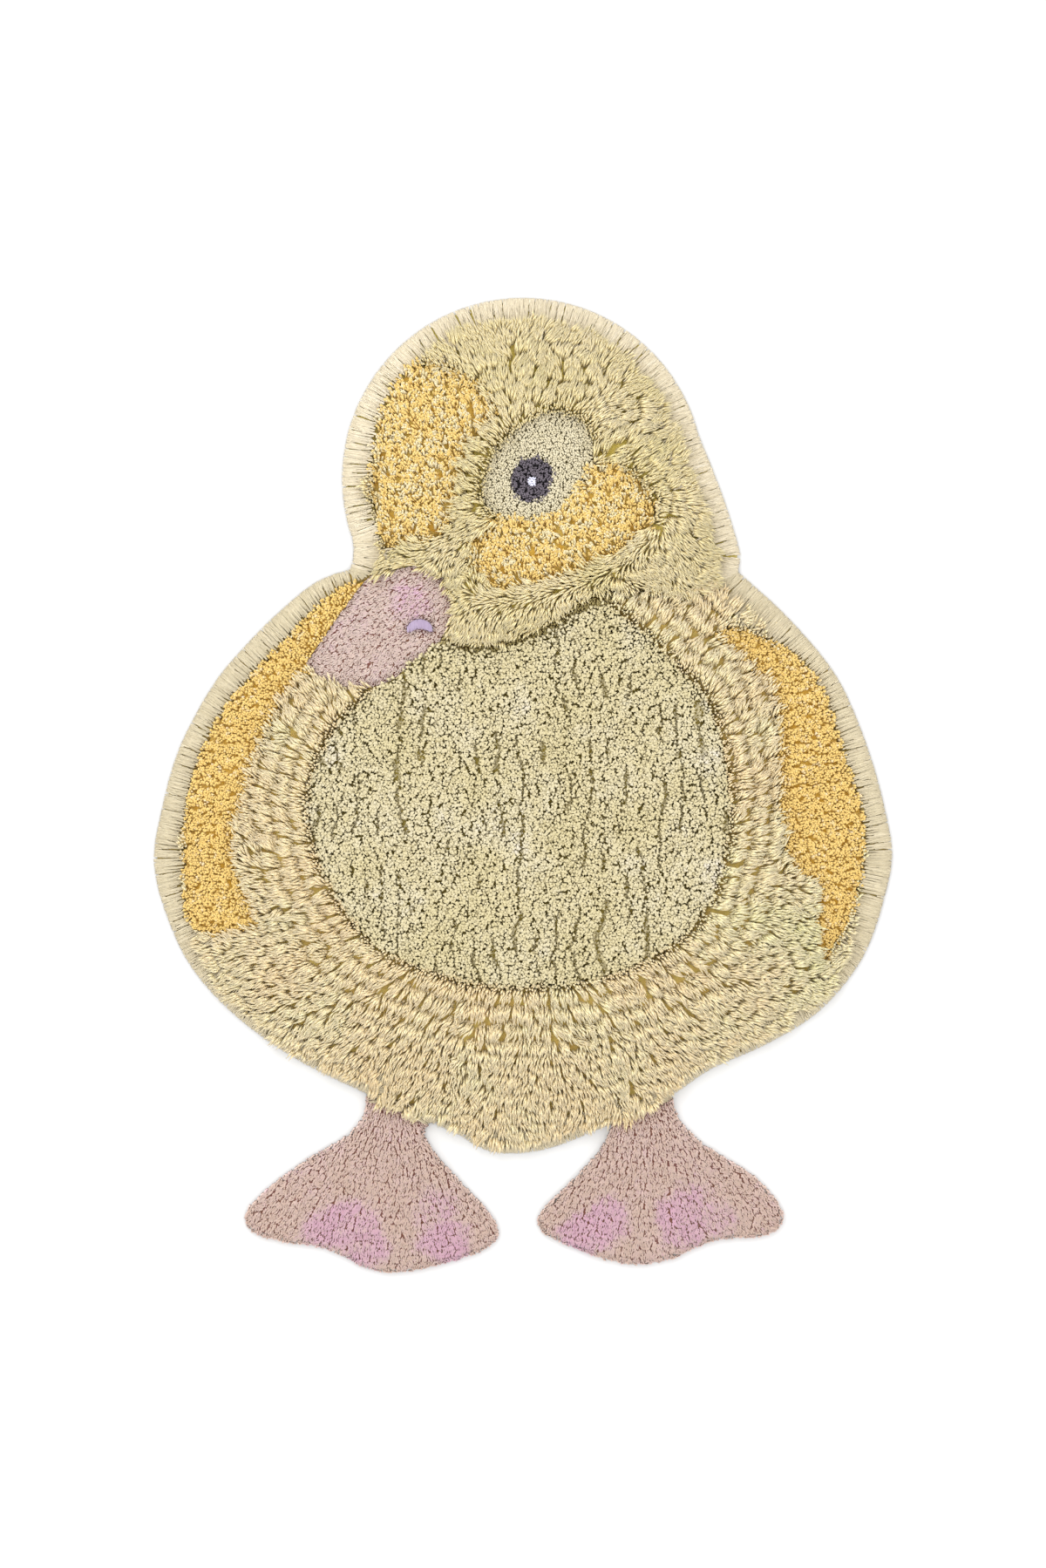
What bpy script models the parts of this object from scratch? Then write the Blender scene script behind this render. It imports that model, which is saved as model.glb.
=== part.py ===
"""Animal shaped kids rug: one tufted cotton rug with the outline of a duckling, lying flat.

Metres, +Z up, +Y towards the head, +X to the viewer's right. The origin lies on the surface that the
rug rests on, under the middle of its box. The rug is a ground cloth with fields of cut pile tufted into
it. Each field has its own yarn and its own pile height, and each is one solid that reaches as far as its
pile does.
"""

import math

import bpy
import numpy as np

# ---------------------------------------------------------------- driving dimensions
GAP = 0.0003  # between two solids that meet
CLOTH_THICKNESS = 0.003
CLOTH_INSET = 0.006  # the pile of the rim reaches this far past the cloth
FIELD_BOTTOM = CLOTH_THICKNESS + GAP
CUTTER_REACH = 0.01  # how far a cutter passes the solid that it cuts
SHOULDER_STEPS = 2  # facets in the rounded top edge of a field
FOOT_ROOT = 0.020  # a foot's blank runs this far up under the body, which is cut out of it

HEAD_RADIUS = 0.270
HEAD_CENTRE = (0.000, 0.455)
HEAD_ARC_DEG = (14.0, 200.0)  # from the back of the head, over the top, to the brow

LONG_STEP = 0.025  # spacing of the outline's points on long, gentle stretches
MEDIUM_STEP = 0.015
SHORT_STEP = 0.010

# ---------------------------------------------------------------- outline of the rug
# Each row is (x, y). A section runs from one corner of the outline to the next as one smooth curve.
NAPE = [  # from the end of the head's arc down to the right neck notch
    (0.284, 0.466),
    (0.304, 0.412),
    (0.319, 0.362),
    (0.325, 0.338),
    (0.321, 0.317),
]
RIGHT_FLANK = [  # from the right neck notch down to the right foot
    (0.321, 0.317),
    (0.383, 0.261),
    (0.433, 0.207),
    (0.471, 0.155),
    (0.514, 0.053),
    (0.542, -0.050),
    (0.550, -0.105),
    (0.541, -0.157),
    (0.506, -0.257),
    (0.440, -0.338),
    (0.355, -0.390),
    (0.280, -0.423),
    (0.240, -0.450),
    (0.222, -0.462),
]
RIGHT_FOOT = [  # from its outer corner with the body, round the toes, to its inner corner
    (0.222, -0.462),
    (0.227, -0.486),
    (0.247, -0.515),
    (0.282, -0.543),
    (0.339, -0.578),
    (0.374, -0.614),
    (0.387, -0.641),
    (0.379, -0.661),
    (0.350, -0.672),
    (0.296, -0.675),
    (0.259, -0.687),
    (0.222, -0.704),
    (0.178, -0.713),
    (0.131, -0.708),
    (0.053, -0.678),
    (0.025, -0.661),
    (0.022, -0.645),
    (0.040, -0.620),
    (0.083, -0.578),
    (0.118, -0.537),
    (0.133, -0.504),
]
UNDER_BODY = [  # the low curve between the feet, from right to left
    (0.133, -0.504),
    (0.096, -0.520),
    (0.040, -0.541),
    (-0.014, -0.549),
    (-0.060, -0.543),
    (-0.096, -0.521),
    (-0.138, -0.503),
]
LEFT_FOOT = [  # from its inner corner with the body, round the toes, to its outer corner
    (-0.138, -0.503),
    (-0.147, -0.518),
    (-0.137, -0.538),
    (-0.102, -0.580),
    (-0.047, -0.640),
    (-0.036, -0.670),
    (-0.058, -0.691),
    (-0.131, -0.715),
    (-0.198, -0.725),
    (-0.237, -0.717),
    (-0.270, -0.699),
    (-0.303, -0.687),
    (-0.368, -0.677),
    (-0.405, -0.662),
    (-0.414, -0.641),
    (-0.388, -0.607),
    (-0.322, -0.557),
    (-0.259, -0.519),
    (-0.236, -0.490),
    (-0.233, -0.460),
]
LEFT_FLANK = [  # from the left foot up to the left neck notch
    (-0.233, -0.460),
    (-0.328, -0.414),
    (-0.405, -0.363),
    (-0.463, -0.310),
    (-0.503, -0.257),
    (-0.541, -0.163),
    (-0.550, -0.107),
    (-0.541, -0.050),
    (-0.513, 0.052),
    (-0.457, 0.156),
    (-0.413, 0.208),
    (-0.362, 0.259),
    (-0.304, 0.305),
    (-0.258, 0.321),
]
THROAT = [  # the lower edge of the head, from the left neck notch, over the beak, to the right one
    (-0.258, 0.321),
    (-0.215, 0.314),
    (-0.160, 0.314),
    (-0.126, 0.304),
    (-0.112, 0.274),
    (-0.117, 0.240),
    (-0.106, 0.220),
    (-0.071, 0.214),
    (-0.032, 0.218),
    (0.039, 0.244),
    (0.087, 0.279),
    (0.153, 0.297),
    (0.214, 0.285),
    (0.270, 0.290),
    (0.321, 0.317),
]

SHOULDERS = [  # the body's blank runs up under the head, which is cut out of it
    (-0.258, 0.321),
    (-0.100, 0.380),
    (0.150, 0.380),
    (0.321, 0.317),
]

# ---------------------------------------------------------------- outlines of the inner fields
# Each row is (x, y, corner). The loop is smooth except where corner is True.
FOREHEAD = [
    (-0.161, 0.619, False),
    (-0.124, 0.620, False),
    (-0.055, 0.583, False),
    (-0.035, 0.552, True),
    (-0.063, 0.519, False),
    (-0.080, 0.492, False),
    (-0.092, 0.440, False),
    (-0.100, 0.392, False),
    (-0.136, 0.360, False),
    (-0.203, 0.350, True),
    (-0.218, 0.400, False),
    (-0.221, 0.475, False),
    (-0.203, 0.560, False),
]
EYE_PATCH = [
    (0.041, 0.553, False),
    (0.083, 0.541, False),
    (0.105, 0.502, False),
    (0.096, 0.460, False),
    (0.070, 0.420, False),
    (0.032, 0.394, False),
    (-0.028, 0.395, False),
    (-0.057, 0.416, False),
    (-0.057, 0.455, False),
    (-0.031, 0.505, False),
]
CHEEK = [  # the eye patch is cut out of it
    (0.100, 0.472, True),
    (0.140, 0.475, False),
    (0.169, 0.454, False),
    (0.196, 0.402, False),
    (0.178, 0.372, False),
    (0.128, 0.334, False),
    (0.066, 0.308, False),
    (0.004, 0.292, False),
    (-0.050, 0.288, False),
    (-0.074, 0.322, False),
    (-0.072, 0.366, False),
    (-0.040, 0.392, True),
    (0.040, 0.420, False),
]
BEAK = [  # its upper end is a little way up in the head
    (-0.229, 0.307, False),
    (-0.195, 0.319, False),
    (-0.136, 0.325, False),
    (-0.115, 0.303, False),
    (-0.100, 0.272, False),
    (-0.106, 0.246, False),
    (-0.119, 0.220, False),
    (-0.169, 0.178, False),
    (-0.195, 0.156, False),
    (-0.253, 0.142, False),
    (-0.302, 0.160, False),
    (-0.321, 0.182, True),
    (-0.287, 0.232, False),
    (-0.250, 0.283, False),
]
LEFT_WING = [  # the beak is cut out of it
    (-0.228, 0.305, True),
    (-0.262, 0.292, False),
    (-0.304, 0.262, False),
    (-0.346, 0.216, False),
    (-0.410, 0.150, False),
    (-0.470, 0.058, False),
    (-0.494, -0.026, False),
    (-0.500, -0.100, False),
    (-0.493, -0.200, False),
    (-0.470, -0.221, False),
    (-0.386, -0.214, True),
    (-0.413, -0.146, False),
    (-0.428, -0.090, False),
    (-0.407, -0.010, False),
    (-0.384, 0.070, False),
    (-0.346, 0.141, False),
    (-0.305, 0.180, False),
    (-0.260, 0.250, False),
]
RIGHT_WING = [
    (0.283, 0.218, True),
    (0.313, 0.233, False),
    (0.345, 0.221, False),
    (0.408, 0.185, False),
    (0.446, 0.128, False),
    (0.472, 0.045, False),
    (0.500, -0.036, False),
    (0.504, -0.084, False),
    (0.487, -0.186, False),
    (0.444, -0.270, True),
    (0.436, -0.240, False),
    (0.434, -0.146, True),
    (0.405, -0.134, False),
    (0.382, -0.062, False),
    (0.378, 0.037, False),
    (0.374, 0.126, False),
    (0.345, 0.168, False),
    (0.304, 0.203, False),
]
BELLY = [  # the beak, the neck and the head are cut out of it
    (-0.145, 0.210, False),
    (-0.060, 0.220, False),
    (0.050, 0.250, False),
    (0.120, 0.266, False),
    (0.160, 0.240, False),
    (0.222, 0.179, False),
    (0.266, 0.135, False),
    (0.299, 0.037, False),
    (0.303, -0.070, False),
    (0.266, -0.190, False),
    (0.163, -0.268, False),
    (0.011, -0.298, False),
    (-0.117, -0.281, False),
    (-0.229, -0.226, False),
    (-0.302, -0.107, False),
    (-0.316, -0.016, False),
    (-0.284, 0.073, False),
    (-0.200, 0.160, False),
]
NECK = [  # a narrow field in the shade of the head; the beak and the head are cut out of it
    (-0.132, 0.214, True),
    (-0.071, 0.197, False),
    (-0.032, 0.201, False),
    (0.039, 0.226, False),
    (0.093, 0.259, False),
    (0.153, 0.281, False),
    (0.218, 0.279, True),
    (0.150, 0.310, False),
    (0.080, 0.290, False),
    (0.035, 0.252, False),
    (-0.032, 0.230, False),
    (-0.080, 0.230, False),
    (-0.120, 0.238, False),
]

PUPIL_CENTRE = (0.013, 0.452)
PUPIL_RADII = (0.030, 0.034)  # across and along its tilted axis
PUPIL_TILT_DEG = -25.0
GLINT_CENTRE = (0.013, 0.450)
GLINT_RADIUS = 0.006
ROUND_SIDES = 24
GLINT_SIDES = 12

NOSTRIL_CENTRE = (-0.153, 0.2295)  # middle of the crescent's two horns
NOSTRIL_OUTER = (0.0195, 0.0170)  # half width and rise of its outer edge
NOSTRIL_INNER = (0.0140, 0.0055)
NOSTRIL_STEPS = 10

# ---------------------------------------------------------------- pile of each field
# name: (pile top, how far its top edge is rounded in, and down, yarn colour, roughness)
FIELDS = {
    "head_shag": (0.030, 0.010, 0.014, (0.730, 0.690, 0.350), 0.95),
    "body_shag": (0.028, 0.010, 0.014, (0.716, 0.624, 0.332), 0.95),
    "belly_pile": (0.021, 0.004, 0.004, (0.672, 0.672, 0.392), 0.95),
    "neck_pile": (0.012, 0.002, 0.002, (0.392, 0.376, 0.202), 0.95),
    "left_wing_pile": (0.018, 0.003, 0.003, (0.781, 0.539, 0.124), 0.95),
    "right_wing_pile": (0.018, 0.003, 0.003, (0.781, 0.539, 0.124), 0.95),
    "forehead_pile": (0.018, 0.003, 0.003, (0.806, 0.546, 0.163), 0.95),
    "cheek_pile": (0.018, 0.003, 0.003, (0.806, 0.546, 0.163), 0.95),
    "eye_patch_pile": (0.014, 0.003, 0.003, (0.724, 0.645, 0.445), 0.95),
    "pupil_pile": (0.014, 0.002, 0.002, (0.089, 0.078, 0.082), 0.95),
    "eye_glint": (0.0145, 0.001, 0.001, (0.880, 0.870, 0.900), 0.90),
    "beak_pile": (0.014, 0.004, 0.004, (0.584, 0.418, 0.352), 0.95),
    "nostril_stitch": (0.0160, 0.001, 0.002, (0.485, 0.397, 0.631), 0.55),
    "left_foot_pile": (0.013, 0.005, 0.006, (0.610, 0.448, 0.381), 0.95),
    "right_foot_pile": (0.013, 0.005, 0.006, (0.610, 0.448, 0.381), 0.95),
}
CLOTH_COLOUR = (0.730, 0.660, 0.500)
CLOTH_ROUGHNESS = 0.95


# ---------------------------------------------------------------- outlines
def evenly_spaced(points, step):
    """Points at equal distances of about one step along a polyline, its ends among them."""
    lengths = np.linalg.norm(np.diff(points, axis=0), axis=1)
    along = np.concatenate([[0.0], np.cumsum(lengths)])
    count = max(2, math.ceil(along[-1] / step) + 1)
    places = np.linspace(0.0, along[-1], count)
    return np.stack([np.interp(places, along, points[:, k]) for k in range(2)], axis=1)


def spline(before, start, end, after, samples=16):
    """One span of a centripetal Catmull-Rom curve, from start up to but not including end."""
    knots = [0.0]
    for a, b in ((before, start), (start, end), (end, after)):
        knots.append(knots[-1] + math.sqrt(np.linalg.norm(b - a)))
    t = np.linspace(knots[1], knots[2], samples, endpoint=False)[:, None]

    def blend(p, q, first, last):
        return (p * (last - t) + q * (t - first)) / (last - first)

    a1 = blend(before, start, knots[0], knots[1])
    a2 = blend(start, end, knots[1], knots[2])
    a3 = blend(end, after, knots[2], knots[3])
    b1 = blend(a1, a2, knots[0], knots[2])
    b2 = blend(a2, a3, knots[1], knots[3])
    return blend(b1, b2, knots[1], knots[2])


def smooth_section(rows, step):
    """An open smooth curve through the rows, with its points about one step apart."""
    p = np.array([row[:2] for row in rows], float)
    if len(p) == 2:
        return evenly_spaced(p, step)
    p = np.vstack([2 * p[0] - p[1], p, 2 * p[-1] - p[-2]])
    spans = [spline(*p[i : i + 4]) for i in range(len(p) - 3)]
    return evenly_spaced(np.vstack([*spans, p[-2:-1]]), step)


def smooth_loop(rows, step):
    """A closed loop through the rows, smooth but for its corners. The first point isn't repeated."""
    corners = [i for i, row in enumerate(rows) if row[2]]
    if not corners:
        p = np.array([row[:2] for row in rows], float)
        p = np.vstack([p[-1:], p, p[:2]])
        spans = [spline(*p[i : i + 4]) for i in range(len(p) - 3)]
        return evenly_spaced(np.vstack([*spans, p[1:2]]), step)[:-1]
    sections = []
    for start, end in zip(corners, [*corners[1:], corners[0] + len(rows)]):
        section = [rows[i % len(rows)] for i in range(start, end + 1)]
        sections.append(smooth_section(section, step)[:-1])
    return np.vstack(sections)


def arc(centre, radius, start_deg, end_deg, step):
    """Points on a circular arc, both ends among them."""
    start, end = math.radians(start_deg), math.radians(end_deg)
    count = math.ceil(abs(end - start) * radius / step) + 1
    turn = np.linspace(start, end, count)
    return np.array(centre) + radius * np.stack([np.cos(turn), np.sin(turn)], axis=1)


def ellipse(centre, radii, tilt_deg, sides):
    """A closed loop round a tilted ellipse."""
    turn = np.linspace(0.0, 2 * math.pi, sides, endpoint=False)
    tilt = math.radians(tilt_deg)
    across = radii[0] * np.cos(turn)
    along = radii[1] * np.sin(turn)
    x = across * math.cos(tilt) - along * math.sin(tilt)
    y = across * math.sin(tilt) + along * math.cos(tilt)
    return np.array(centre) + np.stack([x, y], axis=1)


def crescent(centre, outer, inner, steps):
    """A closed loop round a crescent whose blunt horns point down: half an ellipse over a half wave."""
    turn = np.linspace(math.pi, 0.0, steps + 1)
    dome = np.stack([np.cos(turn), np.sin(turn)], axis=1)
    across = np.linspace(1.0, -1.0, steps + 1)
    notch = np.stack([across, np.cos(across * math.pi / 2)], axis=1)
    return np.array(centre) + np.vstack([dome * outer, notch * inner])


def anticlockwise(loop):
    x, y = loop[:, 0], loop[:, 1]
    area = np.sum(x * np.roll(y, -1) - np.roll(x, -1) * y)
    return loop if area > 0 else loop[::-1]


def grown(loop, distance):
    """The loop moved outwards, or inwards where distance is negative, its edges staying parallel."""
    loop = anticlockwise(loop)
    edge = np.roll(loop, -1, axis=0) - loop
    edge /= np.linalg.norm(edge, axis=1)[:, None]
    normal = np.stack([edge[:, 1], -edge[:, 0]], axis=1)
    miter = normal + np.roll(normal, 1, axis=0)
    miter /= np.maximum(np.sum(miter * normal, axis=1), 0.5)[:, None]
    return loop + distance * miter


def join(*sections):
    """A closed loop of sections that each start where the last one ends."""
    return np.vstack([section[:-1] for section in sections])


def rug_outlines():
    """The outlines of every field and of the whole rug, by name."""
    head_arc = arc(HEAD_CENTRE, HEAD_RADIUS, *HEAD_ARC_DEG, LONG_STEP)
    brow = smooth_section([tuple(head_arc[-1]), (-0.253, 0.338), LEFT_FLANK[-1]], MEDIUM_STEP)
    nape = smooth_section([tuple(head_arc[0]), *NAPE], LONG_STEP)
    right_flank = smooth_section(RIGHT_FLANK, LONG_STEP)
    right_foot = smooth_section(RIGHT_FOOT, SHORT_STEP)
    under_body = smooth_section(UNDER_BODY, LONG_STEP)
    left_foot = smooth_section(LEFT_FOOT, SHORT_STEP)
    left_flank = smooth_section(LEFT_FLANK, LONG_STEP)
    throat = smooth_section(THROAT, MEDIUM_STEP)
    shoulders = smooth_section(SHOULDERS, LONG_STEP)

    def ankle(foot):
        """The line on which a foot meets the body, from the foot's first point to its last."""
        return smooth_section([tuple(foot[0]), tuple(foot[-1])], LONG_STEP)

    whole_head = (nape[::-1], head_arc, brow)
    root = np.array([[0.0, FOOT_ROOT]])
    outlines = {
        "rug": join(right_flank[::-1], *whole_head, left_flank[::-1], left_foot[::-1],
                    under_body[::-1], right_foot[::-1]),
        "head_shag": join(*whole_head, throat),
        "body_shag": join(right_flank[::-1], shoulders[::-1], left_flank[::-1],
                          ankle(left_foot)[::-1], under_body[::-1], ankle(right_foot)[::-1]),
        "right_foot_pile": np.vstack([right_foot, right_foot[[-1, 0]] + root]),
        "left_foot_pile": np.vstack([left_foot, left_foot[[-1, 0]] + root]),
        "forehead_pile": smooth_loop(FOREHEAD, MEDIUM_STEP),
        "eye_patch_pile": smooth_loop(EYE_PATCH, MEDIUM_STEP),
        "cheek_pile": smooth_loop(CHEEK, MEDIUM_STEP),
        "beak_pile": smooth_loop(BEAK, MEDIUM_STEP),
        "left_wing_pile": smooth_loop(LEFT_WING, LONG_STEP),
        "right_wing_pile": smooth_loop(RIGHT_WING, LONG_STEP),
        "belly_pile": smooth_loop(BELLY, LONG_STEP),
        "neck_pile": smooth_loop(NECK, MEDIUM_STEP),
        "pupil_pile": ellipse(PUPIL_CENTRE, PUPIL_RADII, PUPIL_TILT_DEG, ROUND_SIDES),
        "eye_glint": ellipse(GLINT_CENTRE, (GLINT_RADIUS, GLINT_RADIUS), 0.0, GLINT_SIDES),
        "nostril_stitch": crescent(NOSTRIL_CENTRE, NOSTRIL_OUTER, NOSTRIL_INNER, NOSTRIL_STEPS),
    }
    return {name: anticlockwise(loop) for name, loop in outlines.items()}


# name: the fields that are cut out of it where they meet
CUTS = {
    "head_shag": ("forehead_pile", "eye_patch_pile", "cheek_pile", "beak_pile"),
    "body_shag": ("head_shag", "beak_pile", "left_wing_pile", "right_wing_pile", "belly_pile",
                  "neck_pile"),
    "belly_pile": ("head_shag", "beak_pile", "neck_pile"),
    "neck_pile": ("head_shag", "beak_pile"),
    "left_wing_pile": ("head_shag", "beak_pile"),
    "cheek_pile": ("eye_patch_pile",),
    "eye_patch_pile": ("pupil_pile",),
    "pupil_pile": ("eye_glint",),
    "beak_pile": ("nostril_stitch",),
    "left_foot_pile": ("body_shag",),
    "right_foot_pile": ("body_shag",),
}


# ---------------------------------------------------------------- solids
def yarn(name, colour, roughness):
    material = bpy.data.materials.new(name)
    material.use_nodes = True
    shader = material.node_tree.nodes["Principled BSDF"]
    shader.inputs["Base Color"].default_value = (*colour, 1.0)
    shader.inputs["Roughness"].default_value = roughness
    shader.inputs["Metallic"].default_value = 0.0
    return material


def stacked(name, rings):
    """A closed object whose walls run up through rings of equally many points (loop, height)."""
    count = len(rings[0][0])
    points = [(x, y, height) for loop, height in rings for x, y in loop]
    faces = [tuple(reversed(range(count)))]
    for level in range(len(rings) - 1):
        base = level * count
        for i in range(count):
            j = (i + 1) % count
            faces.append((base + i, base + j, base + count + j, base + count + i))
    faces.append(tuple(range(count * (len(rings) - 1), count * len(rings))))
    mesh = bpy.data.meshes.new(name)
    mesh.from_pydata(points, [], faces)
    mesh.validate()
    solid = bpy.data.objects.new(name, mesh)
    bpy.context.scene.collection.objects.link(solid)
    return solid


def pile_field(name, loop):
    """A field of cut pile: upright sides, and a top edge rounded as brushed yarn is."""
    top, inset, drop, colour, roughness = FIELDS[name]
    rings = [(loop, FIELD_BOTTOM), (loop, top - drop)]
    for step in range(1, SHOULDER_STEPS + 1):
        turn = step / SHOULDER_STEPS * math.pi / 2
        inward = inset * (1 - math.cos(turn))
        rings.append((grown(loop, -inward), top - drop * (1 - math.sin(turn))))
    field = stacked(name, rings)
    field.data.materials.append(yarn(f"{name}_yarn", colour, roughness))
    return field


def cutter(name, loop):
    """A helper that cuts a field's place, and the gap round it, out of its neighbours."""
    loop = grown(loop, GAP)
    highest = max(row[0] for row in FIELDS.values())
    helper = stacked(f"cut_{name}", [(loop, -CUTTER_REACH), (loop, highest + CUTTER_REACH)])
    helper.hide_render = True
    helper.display_type = "WIRE"
    return helper


def ground_cloth(loop):
    """The one piece of cloth that every tuft is stitched into, its hem folded in at the edge."""
    loop = grown(loop, -CLOTH_INSET)
    cloth = stacked("ground_cloth", [(loop, 0.0), (loop, CLOTH_THICKNESS)])
    cloth.data.materials.append(yarn("ground_cotton", CLOTH_COLOUR, CLOTH_ROUGHNESS))
    return cloth


def main():
    for old in list(bpy.data.objects):
        bpy.data.objects.remove(old)
    outlines = rug_outlines()
    pieces = {"ground_cloth": ground_cloth(outlines["rug"])}
    for name in FIELDS:
        pieces[name] = pile_field(name, outlines[name])
    cutters = {name: cutter(name, outlines[name]) for cuts in CUTS.values() for name in cuts}
    for name, cuts in CUTS.items():
        for cut in cuts:
            modifier = pieces[name].modifiers.new(f"cut_{cut}", "BOOLEAN")
            modifier.operation = "DIFFERENCE"
            modifier.object = cutters[cut]


main()
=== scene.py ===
"""Looks of the animal shaped kids rug: every field of cut pile as real strands of yarn.

The frame gives each field's outline and height. A field is a dense foot of pile and the strands that
stand on it. Strands stand in tufts, tufts stand in rows, and the tufts are combed one way or another.
Metres, +Z up, +Y towards the head, +X to the viewer's right.
"""

import math

import bpy
import numpy as np
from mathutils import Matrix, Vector, geometry


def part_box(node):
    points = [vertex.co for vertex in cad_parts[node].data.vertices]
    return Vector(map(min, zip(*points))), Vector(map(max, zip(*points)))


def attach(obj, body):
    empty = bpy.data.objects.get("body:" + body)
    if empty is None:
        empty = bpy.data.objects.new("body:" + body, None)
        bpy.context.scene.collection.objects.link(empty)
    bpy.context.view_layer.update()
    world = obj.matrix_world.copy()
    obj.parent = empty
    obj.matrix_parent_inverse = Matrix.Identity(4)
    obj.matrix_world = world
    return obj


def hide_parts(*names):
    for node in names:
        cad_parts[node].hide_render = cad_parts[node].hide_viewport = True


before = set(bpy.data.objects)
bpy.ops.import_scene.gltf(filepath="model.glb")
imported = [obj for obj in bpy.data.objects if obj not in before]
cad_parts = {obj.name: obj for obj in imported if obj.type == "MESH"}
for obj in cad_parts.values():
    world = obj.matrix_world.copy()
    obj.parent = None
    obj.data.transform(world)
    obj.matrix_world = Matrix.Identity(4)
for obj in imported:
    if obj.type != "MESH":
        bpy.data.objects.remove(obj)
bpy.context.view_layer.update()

# ---------------------------------------------------------------- driving values
CLOTH_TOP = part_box("ground_cloth")[1].z
ROOT_Z = CLOTH_TOP + 0.0004  # a strand starts at the cloth's surface
CLOTH_INSET = 0.006  # the rim's pile reaches this far past the cloth
SHEET_SIDE_GAP = 0.0005  # the cloth's sheet stops this far inside the outline of its CAD node
SHEET_TOP_GAP = 0.0003  # and this far below its top
SHEET_BOTTOM = 0.0004  # and starts this far above the floor
SIDES = 3  # of a strand
TONES = 16  # columns of yarn tone in the strand material's own map
# The foot's part of the map is painted darker, as shade between the strands
FOOT_V = (0.004, 0.040)  # where the dense foot of the pile lies in that map
STRAND_V = (0.05, 0.995)  # where a strand lies in it, from root to tip
COLUMN_MARGIN = 0.06  # a strand keeps clear of its column's sides by this share of it
PLIES = 3  # of a strand
ROOT_JITTER = 0.27  # a root strays from its grid by up to this share of the spacing
ROOT_INSET = 0.0004  # no strand starts nearer than this to its field's edge
FOOT_INSET = 0.0003  # a field's foot stops this far inside the field's outline
THIN_FOOT = 0.001  # how thick a sloping foot is where it is thinnest
SLOPE_SPACING = 0.016  # between the points that carry a foot's slope
SLOPE_INSET = 0.005  # these points keep this far from the foot's edge
NOISE_CELLS = 64  # after so many features each way, soft noise repeats
NOISE_SHIFT = 1000.0  # in features, which part of the noise lies over the rug
TUFT_GRID = (97, 89)  # after so many tufts each way, their random values repeat
RIM_WIDTH = 0.052  # length of the strands combed outwards at the rug's edge
LOW_RIM_WIDTH = 0.028  # their length low on the body
RIM_MERGE = 0.022  # over this distance the rim's strands thin out among the tufts further in
RIM_END = 0.0050  # how high above the floor the rim's strands end
RIM_LOCK = (0.060, 0.0050)  # a lock of the rim's strands: its length outwards, and along the outline

EYE = np.array((0.013, 0.452))
BODY_MIDDLE = np.array((-0.005, -0.040))
BEAK_CROWN = np.array((-0.020, 0.400))  # the beak's plush is combed away from here
LEFT_ANKLE = np.array((-0.185, -0.400))
RIGHT_ANKLE = np.array((0.178, -0.400))
RINGS_REACH = 0.085  # the clear rows of tufts round the belly reach this far from it
BODY_RING = 0.46  # this far from the body's middle, its tufts have their full size along the row

# The camera looks straight down, and frames the rug as the photo does
PHOTO_HEIGHT = 1799  # in pixels
METRES_PER_PIXEL = 0.0012946  # at the height VIEW_HEIGHT
VIEW_HEIGHT = 0.01  # above the floor, about half the height of most of the pile
VIEW_MIDDLE = (0.0, 0.0013)

# Rings of a strand: share of its length, and of its radius. The last ring is a point.
SHORT_RINGS = ((0.00, 0.75), (0.94, 1.00), (1.00, 0.0))
LONG_RINGS = ((0.00, 0.90), (0.74, 1.00), (1.00, 0.0))
RIM_RINGS = ((0.00, 0.80), (0.30, 1.00), (0.88, 0.85), (1.00, 0.0))
SPIKE_RINGS = ((0.00, 1.00), (1.00, 0.0))
STITCH_RINGS = ((0.00, 0.60), (0.15, 1.00), (0.38, 1.00), (0.62, 1.00), (0.85, 1.00), (1.00, 0.0))


# ---------------------------------------------------------------- outlines from the frame
def signed_area(loop):
    """The area inside a loop of points, above 0 where the loop runs anticlockwise."""
    x, y = loop[:, 0], loop[:, 1]
    return float(np.sum(x * np.roll(y, -1) - np.roll(x, -1) * y) / 2)


def outline_loops(node):
    """The closed loops round a CAD node's flat underside as (x, y) points, the material on their left."""
    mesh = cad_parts[node].data
    mesh.calc_loop_triangles()
    points = np.array([v.co for v in mesh.vertices])
    places, merged = np.unique(np.round(points, 5), axis=0, return_inverse=True)
    merged = merged.reshape(-1)
    floor = places[:, 2].min() + 1e-4
    edges = set()
    for triangle in mesh.loop_triangles:
        a, b, c = (int(merged[i]) for i in reversed(triangle.vertices))
        if max(places[i][2] for i in (a, b, c)) < floor:
            edges |= {(a, b), (b, c), (c, a)}
    following = {a: b for a, b in edges if (b, a) not in edges}
    loops = []
    while following:
        start = at = next(iter(following))
        loop = []
        while at in following:
            loop.append(places[at][:2])
            at = following.pop(at)
        if at == start and len(loop) > 2:
            loops.append(np.array(loop))
    return sorted(loops, key=lambda loop: -abs(signed_area(loop)))


def shrunk(loop, distance):
    """The loop moved to its left, into the material, its edges staying parallel."""
    edge = np.roll(loop, -1, axis=0) - loop
    edge /= np.maximum(np.linalg.norm(edge, axis=1), 1e-9)[:, None]
    left = np.stack([-edge[:, 1], edge[:, 0]], axis=1)
    miter = left + np.roll(left, 1, axis=0)
    miter /= np.maximum(np.sum(miter * left, axis=1), 0.5)[:, None]
    return loop + distance * miter


def inside(points, loops):
    """Whether each point lies inside the outer loop and outside its holes."""
    found = np.zeros(len(points), bool)
    x, y = points[:, 0], points[:, 1]
    for loop in loops:
        for (ax, ay), (bx, by) in zip(loop, np.roll(loop, -1, axis=0)):
            if ay != by:
                spans = (y < ay) != (y < by)
                found ^= spans & (x < ax + (y - ay) / (by - ay) * (bx - ax))
    return found


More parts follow.
